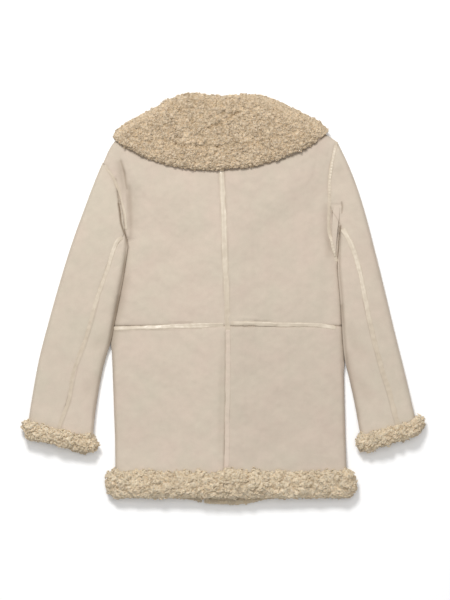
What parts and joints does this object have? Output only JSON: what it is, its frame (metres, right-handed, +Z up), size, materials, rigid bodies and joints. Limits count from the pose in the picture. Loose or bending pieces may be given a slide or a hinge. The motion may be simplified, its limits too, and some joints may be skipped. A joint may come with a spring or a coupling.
{
  "type": "shearling suede jacket laid flat",
  "caption": "Hip-length suede jacket laid flat with its back up, with a wide wool collar, wool cuff and hem bands, and smooth leather strips on its seams.",
  "frame": {"origin": "on the surface it lies on, under the middle of the whole outline", "axes": "+X across the jacket, to the right as seen from above with the collar at the top; +Y up to the collar; +Z up from the surface"},
  "size_m": [0.8126, 0.8274, 0.0495],
  "materials": {
    "suede": "napped suede side of shearling, matte",
    "wool": "curly sheep's wool on its skin, matte",
    "strip_leather": "smooth pale leather strip, satin"
  },
  "bodies": {
    "root": {"back_upper_left": "suede", "back_upper_right": "suede", "back_lower_left": "suede", "back_lower_right": "suede", "front_left": "suede", "front_right": "suede", "sleeve_outer_left": "suede", "sleeve_outer_right": "suede", "sleeve_inner_left": "suede", "sleeve_inner_right": "suede", "gusset_right": "suede", "collar_fall": "wool", "collar_stand": "wool", "collar_end_left": "wool", "collar_end_right": "wool", "cuff_band_left": "wool", "cuff_band_right": "wool", "hem_band_back_left": "wool", "hem_band_back_right": "wool", "hem_band_front_left": "wool", "hem_band_front_right": "wool", "strip_back_upper": "strip_leather", "strip_back_lower": "strip_leather", "strip_waist_left": "strip_leather", "strip_waist_right": "strip_leather", "strip_armhole_left": "strip_leather", "strip_armhole_right": "strip_leather", "strip_sleeve_left": "strip_leather", "strip_sleeve_right": "strip_leather"}
  },
  "joints": []
}
